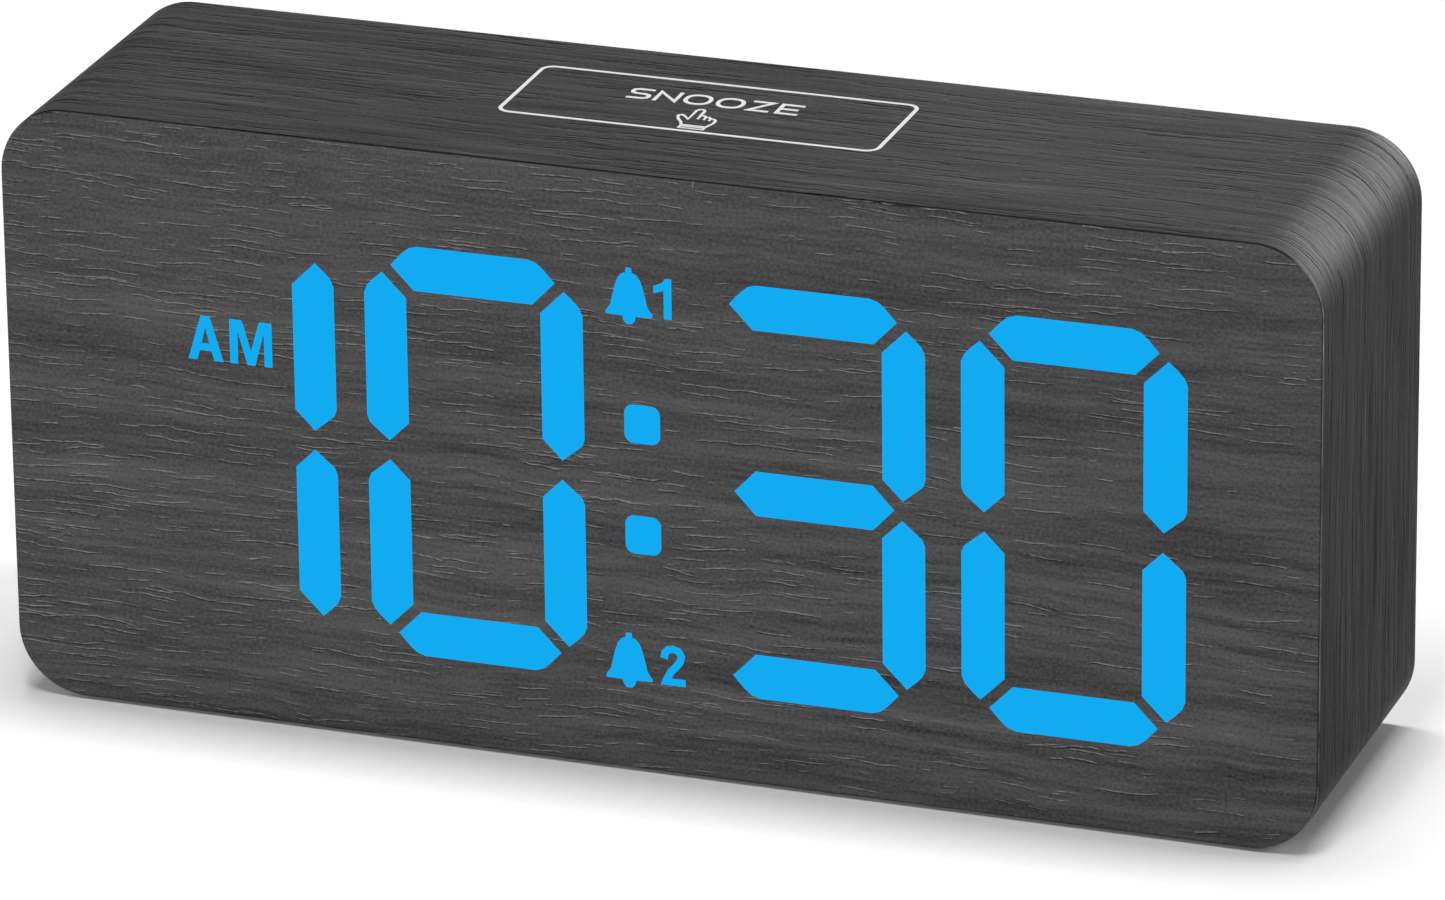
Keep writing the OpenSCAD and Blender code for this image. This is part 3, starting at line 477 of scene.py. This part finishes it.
def capacitor_material():
    g = Graph("capacitor")
    lo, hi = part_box("filter_capacitor")
    s = g.sep(g.obj())
    cx, cz = (lo.x + hi.x) / 2 / MM, (lo.z + hi.z) / 2 / MM
    dx, dz = g.m("SUBTRACT", s[0], cx), g.m("SUBTRACT", s[2], cz)
    r = g.m("SQRT", g.m("ADD", g.m("MULTIPLY", dx, dx), g.m("MULTIPLY", dz, dz)))
    top = g.m("MULTIPLY", g.range(r, 2.5, 2.6, 1.0, 0.0), g.range(s[1], lo.y / MM + 0.1, lo.y / MM + 0.2, 1.0, 0.0))
    n = g.noise(g.obj(), 1.5, 2.0)
    band = g.range(dx, -2.4, -2.2, 1.0, 0.0)
    body = g.mix(band, (0.010, 0.012, 0.06), (0.5, 0.5, 0.52))
    g.set(color=g.mix(top, body, (0.62, 0.62, 0.63)), metal=top, rough=g.range(n, 0.3, 0.7, 0.28, 0.4))
    return g.mat


def ribbon_material():
    g = Graph("ribbon")
    s = g.sep(g.obj())
    lo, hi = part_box("ribbon_cable")
    red = g.range(s[0], lo.x / MM + 1.0, lo.x / MM + 1.15, 1.0, 0.0)
    n = g.noise(g.obj(), 1.2, 3.0)
    col = g.mix(red, g.tint((0.33, 0.33, 0.35), g.range(n, 0.2, 0.8, 0.88, 1.08)), (0.45, 0.03, 0.02))
    g.set(color=col, rough=g.range(n, 0.3, 0.7, 0.4, 0.55), normal=g.bump(n, 0.2, 0.00002))
    return g.mat


def led_material():
    g = Graph("led")
    v = g.obj()
    n = g.noise(v, 3.0, 2.0)
    cells = g.voronoi(g.vec("MULTIPLY", v, (0.9, 0.9, 0.9)), 1.0)
    col = g.mix(g.range(cells, 0.2, 0.5), (0.78, 0.70, 0.28), (0.82, 0.81, 0.76))
    g.set(color=col, rough=g.range(n, 0.3, 0.7, 0.25, 0.4))
    return g.mat


def diffuser_material():
    g = Graph("diffuser")
    v = g.obj()
    n = g.noise(v, 2.0, 3.0)
    g.set(color=g.tint((0.85, 0.86, 0.85), g.range(n, 0.2, 0.8, 0.95, 1.0)), rough=g.range(n, 0.3, 0.7, 0.5, 0.65),
          normal=g.bump(n, 0.2, 0.00002))
    return g.mat


def acrylic_material():
    g = Graph("smoked_acrylic")
    v = g.obj()
    n = g.noise(v, 0.3, 3.0)
    g.set(color=g.tint((0.016, 0.016, 0.018), g.range(n, 0.2, 0.8, 0.9, 1.1)), rough=g.range(n, 0.3, 0.7, 0.06, 0.12), spec=0.5)
    return g.mat


M = {
    "fibreboard": fibreboard(),
    "smoked_acrylic": acrylic_material(),
    "lit_blue": lit_material(),
    "white_ink": ink("white_ink", (0.62, 0.62, 0.615)),
    "diffuser": diffuser_material(),
    "mask_black": plastic("mask_black", (0.018, 0.018, 0.018), 0.55, 0.4),
    "board_green": board("board_green"),
    "led": led_material(),
    "chip": plastic("chip", (0.020, 0.020, 0.022), 0.5, 0.5, 14.0),
    "screw_steel": metal("screw_steel", (0.62, 0.62, 0.61), 0.30),
    "header": plastic("header", (0.68, 0.62, 0.46), 0.42, 0.25),
    "ribbon": ribbon_material(),
    "crystal": metal("crystal", (0.74, 0.74, 0.72), 0.18, axis=0),
    "capacitor": capacitor_material(),
    "buzzer": plastic("buzzer", (0.016, 0.016, 0.016), 0.4, 0.3),
    "switch": plastic("switch", (0.035, 0.035, 0.036), 0.45, 0.3),
    "jack": plastic("jack", (0.014, 0.014, 0.015), 0.32, 0.25),
    "contact": metal("contact", (0.70, 0.68, 0.60), 0.24, axis=1),
    "copper": metal("copper", (0.72, 0.36, 0.21), 0.34, axis=1),
    "wire_white": plastic("wire_white", (0.62, 0.62, 0.58), 0.42, 0.2),
    "wire_red": plastic("wire_red", (0.42, 0.018, 0.012), 0.40, 0.2),
    "wire_black": plastic("wire_black", (0.014, 0.014, 0.014), 0.40, 0.2),
    "cover": plastic("cover", (0.0230, 0.0230, 0.0245), 0.50, 0.9, 6.5, 0.25, dist=0.00005),
    "cover_ink": ink("cover_ink", (0.50, 0.50, 0.50)),
    "cover_screw": metal("cover_screw", (0.46, 0.46, 0.46), 0.34),
    "bay_plastic": plastic("bay_plastic", (0.027, 0.027, 0.029), 0.45, 0.4),
    "foot_rubber": rubber("foot_rubber", (0.014, 0.014, 0.014)),
    "key_plastic": plastic("key_plastic", (0.046, 0.046, 0.049), 0.33, 0.35, 8.0),
    "plunger": plastic("plunger", (0.58, 0.54, 0.44), 0.4, 0.2),
    "film_front": front_film_material(),
    "film_wrap": wrap_film_material(),
}
slot_of = {s["node"]: s["material_slot"] for s in frame["record"]["subparts"]}
for name, o in nodes.items():
    o.data.materials.clear()
    o.data.materials.append(M[slot_of[name]])


# ---------------------------------------------------------------- new pieces
def finish_mesh(name, bm, mat, body, sharp_deg=35.0):
    bmesh.ops.recalc_face_normals(bm, faces=bm.faces)
    lim = math.radians(sharp_deg)
    for f in bm.faces:
        f.smooth = True
    for ed in bm.edges:
        ed.smooth = not (len(ed.link_faces) == 2 and ed.calc_face_angle(0.0) > lim)
    me = bpy.data.meshes.new(name)
    bm.to_mesh(me)
    bm.free()
    me.materials.append(mat)
    o = bpy.data.objects.new(name, me)
    scene.collection.objects.link(o)
    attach(o, body)
    return o


def perimeter(hw, hh, r, step=2.5 * MM, arc=20):
    """Points and outward normals round a rounded rectangle, from the middle of the bottom, anticlockwise seen from the front,
    with the distance run."""
    pts = []

    def line(p, q, n):
        k = max(1, round((Vector(q) - Vector(p)).length / step))
        for i in range(k):
            pts.append((Vector(p).lerp(Vector(q), i / k), Vector(n)))

    def corner(c, a0):
        for i in range(arc):
            a = math.radians(a0 + 90.0 * i / arc)
            n = Vector((math.cos(a), math.sin(a)))
            pts.append((Vector(c) + n * r, n))

    line((0, -hh), (hw - r, -hh), (0, -1))
    corner((hw - r, -hh + r), -90)
    line((hw, -hh + r), (hw, hh - r), (1, 0))
    corner((hw - r, hh - r), 0)
    line((hw - r, hh), (-hw + r, hh), (0, 1))
    corner((-hw + r, hh - r), 90)
    line((-hw, hh - r), (-hw, -hh + r), (-1, 0))
    corner((-hw + r, -hh + r), 180)
    line((-hw + r, -hh), (0, -hh), (0, -1))
    dist = [0.0]
    for i in range(1, len(pts) + 1):
        dist.append(dist[-1] + (pts[i % len(pts)][0] - pts[i - 1][0]).length)
    return pts, dist


def arc_profile(cx, cy, r, a0, a1, k):
    return [(cx + r * math.cos(math.radians(a0 + (a1 - a0) * i / k)), cy + r * math.sin(math.radians(a0 + (a1 - a0) * i / k))) for i in range(k + 1)]


def make_wrap():
    """The wrapped film: a thin ring with rounded lips. The grain attribute runs round the case."""
    pts, dist = perimeter(HALF_W, HALF_H, R_CORNER)
    lip = 0.20 * MM
    # (inset from the outside, y)
    prof = [(FILM, Y_SEAM)]
    prof += [(lip - u, Y_SEAM + lip - v) for u, v in arc_profile(0, 0, lip, 90, 0, 5)]
    n_y = 12
    y0, y1 = Y_SEAM + lip, Y_REAR - lip
    prof += [(0.0, y0 + (y1 - y0) * i / n_y) for i in range(1, n_y)]
    prof += [(lip - u, Y_REAR - lip + v) for u, v in arc_profile(0, 0, lip, 0, 90, 5)]
    prof += [(FILM, Y_REAR)]
    bm = bmesh.new()
    lay = bm.loops.layers.float_vector.new("grain")
    grid = [[bm.verts.new((p.x - n.x * i, y, ZC + p.y - n.y * i)) for i, y in prof] for p, n in pts]
    k, q = len(pts), len(prof)
    for a in range(k):
        for b in range(q):
            b2 = (b + 1) % q
            vs = (grid[a][b], grid[a][b2], grid[(a + 1) % k][b2], grid[(a + 1) % k][b])
            f = bm.faces.new(vs)
            vals = ((a, b), (a, b2), (a + 1, b2), (a + 1, b))
            for lp, (ia, ib) in zip(f.loops, vals):
                lp[lay] = (dist[ia] / MM, prof[ib][1] / MM, prof[ib][0] / MM)
    o = finish_mesh("wrap_skin", bm, M["film_wrap"], "case")
    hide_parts("wrap_film")
    return o


def plane_loops(me, y):
    """Closed outlines of the faces of a mesh that lie in the plane y, as lists of (x, z)."""
    key = lambda v: (round(v.x, 7), round(v.z, 7))
    count = {}
    for f in me.polygons:
        vs = [me.vertices[i].co for i in f.vertices]
        if all(abs(v.y - y) < 2e-6 for v in vs):
            ks = [key(v) for v in vs]
            for i in range(len(ks)):
                e_ = (ks[i], ks[(i + 1) % len(ks)])
                if (e_[1], e_[0]) in count:
                    del count[(e_[1], e_[0])]
                else:
                    count[e_] = True
    nxt = {}
    for a_, b_ in count:
        nxt.setdefault(a_, []).append(b_)
    loops = []
    while nxt:
        start = next(iter(nxt))
        loop, cur = [start], nxt[start].pop()
        if not nxt[start]:
            del nxt[start]
        while cur != start:
            loop.append(cur)
            n_ = nxt[cur].pop()
            if not nxt[cur]:
                del nxt[cur]
            cur = n_
        loops.append(loop)
    return loops


def make_front():
    """The front film: one sheet with rounded outer edge and a window for every lit shape."""
    loops = plane_loops(nodes["front_film"].data, Y_FRONT)
    loops.sort(key=lambda l: -(max(p[0] for p in l) - min(p[0] for p in l)))
    holes = loops[1:]
    hw, hh = (film_hi.x - film_lo.x) / 2, (film_hi.z - film_lo.z) / 2
    pts, _ = perimeter(hw, hh, R_CORNER - 0.1 * MM)
    r = 0.16 * MM
    prof = [(r - u, Y_FRONT + r - v) for u, v in arc_profile(0, 0, r, 90, 0, 5)]
    prof += [(0.0, film_hi.y)]
    bm = bmesh.new()
    grid = [[bm.verts.new((p.x - n.x * i, y, ZC + p.y - n.y * i)) for i, y in prof] for p, n in pts]
    k, q = len(pts), len(prof)
    for a in range(k):
        for b in range(q - 1):
            bm.faces.new((grid[a][b], grid[a][b + 1], grid[(a + 1) % k][b + 1], grid[(a + 1) % k][b]))
    walls = []
    for h in holes:
        walls.append([(bm.verts.new((x, Y_FRONT, z)), bm.verts.new((x, film_hi.y, z))) for x, z in h])
    for w in walls:
        n = len(w)
        for i in range(n):
            a_, b_ = w[i], w[(i + 1) % n]
            bm.faces.new((a_[0], b_[0], b_[1], a_[1]))
    for side in (0, 1):
        outer = [grid[a][0 if side == 0 else q - 1] for a in range(k)]
        rings = [outer] + [[v[side] for v in w] for w in walls]
        flat = [v for ring in rings for v in ring]
        tris = tessellate_polygon([[Vector((v.co.x, v.co.z, 0)) for v in ring] for ring in rings])
        for t in tris:
            vs = [flat[i] for i in t]
            try:
                bm.faces.new(vs)
            except ValueError:
                pass
    o = finish_mesh("front_skin", bm, M["film_front"], "case")
    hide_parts("front_film")
    return o


wrap_skin = make_wrap()
front_skin = make_front()


# Small broken edges on the moulded and machined pieces that can be seen
def soften(name, width, seg=2, angle=40.0):
    o = nodes[name]
    w = o.modifiers.new("weld", "WELD")
    w.merge_threshold = 1e-6
    b = o.modifiers.new("edge", "BEVEL")
    b.width = width
    b.segments = seg
    b.limit_method = "ANGLE"
    b.angle_limit = math.radians(angle)
    b.use_clamp_overlap = True
    b.harden_normals = False


for n_, w_ in (("rear_cover", 0.12 * MM), ("battery_door", 0.15 * MM), ("rubber_feet", 0.15 * MM), ("battery_tray", 0.12 * MM)):
    soften(n_, w_)
for k_ in ("set", "up", "down", "alarm_1", "alarm_2"):
    soften("key_" + k_, 0.18 * MM, 3)

# ---------------------------------------------------------------- floor
bm = bmesh.new()
bmesh.ops.create_grid(bm, x_segments=8, y_segments=8, size=4.0)
me = bpy.data.meshes.new("floor")
bm.to_mesh(me)
bm.free()
floor = bpy.data.objects.new("floor", me)
scene.collection.objects.link(floor)
fg = Graph("floor_paint")
fn = fg.noise(fg.obj(1.0), 3.0, 2.0)
fg.set(color=fg.tint((0.92, 0.92, 0.92), fg.range(fn, 0.2, 0.8, 0.99, 1.0)), rough=0.8, spec=0.1)
me.materials.append(fg.mat)

# Unseen dark sheet on the floor beside the object: painted shade in the floor's reflection and bounce light on the
# right side. No camera sees it and it casts no shadow
bm = bmesh.new()
bmesh.ops.create_grid(bm, x_segments=1, y_segments=1, size=0.5, matrix=Matrix.Translation((0.288, 0.24, 0.0006)) @ Matrix.Diagonal((0.42, 0.60, 1, 1)))
me = bpy.data.meshes.new("reflection_shade_sheet")
bm.to_mesh(me)
bm.free()
card = bpy.data.objects.new("reflection_shade_sheet", me)
scene.collection.objects.link(card)
cg = Graph("reflection_shade_paint")
cg.set(color=cg.tint((0.17, 0.17, 0.17), cg.range(cg.noise(cg.obj(1.0), 3.0, 2.0), 0.2, 0.8, 0.9, 1.0)), rough=0.9, spec=0.1)
me.materials.append(cg.mat)
card.visible_camera = False
card.visible_shadow = False

# The strip only puts a sheen on the object, the lit shapes do not tint the floor, and the light on the right only
# opens up the shadow on the floor
strip_on = bpy.data.collections.new("strip_receivers")
strip_on.objects.link(floor)
strip_on.collection_objects[0].light_linking.link_state = "EXCLUDE"
corner_strip.light_linking.receiver_collection = strip_on
for n_ in ("lit_digits", "lit_colon", "lit_indicators"):
    nodes[n_].light_linking.receiver_collection = strip_on
floor_only = bpy.data.collections.new("floor_receiver")
floor_only.objects.link(floor)
right_fill.light_linking.receiver_collection = floor_only
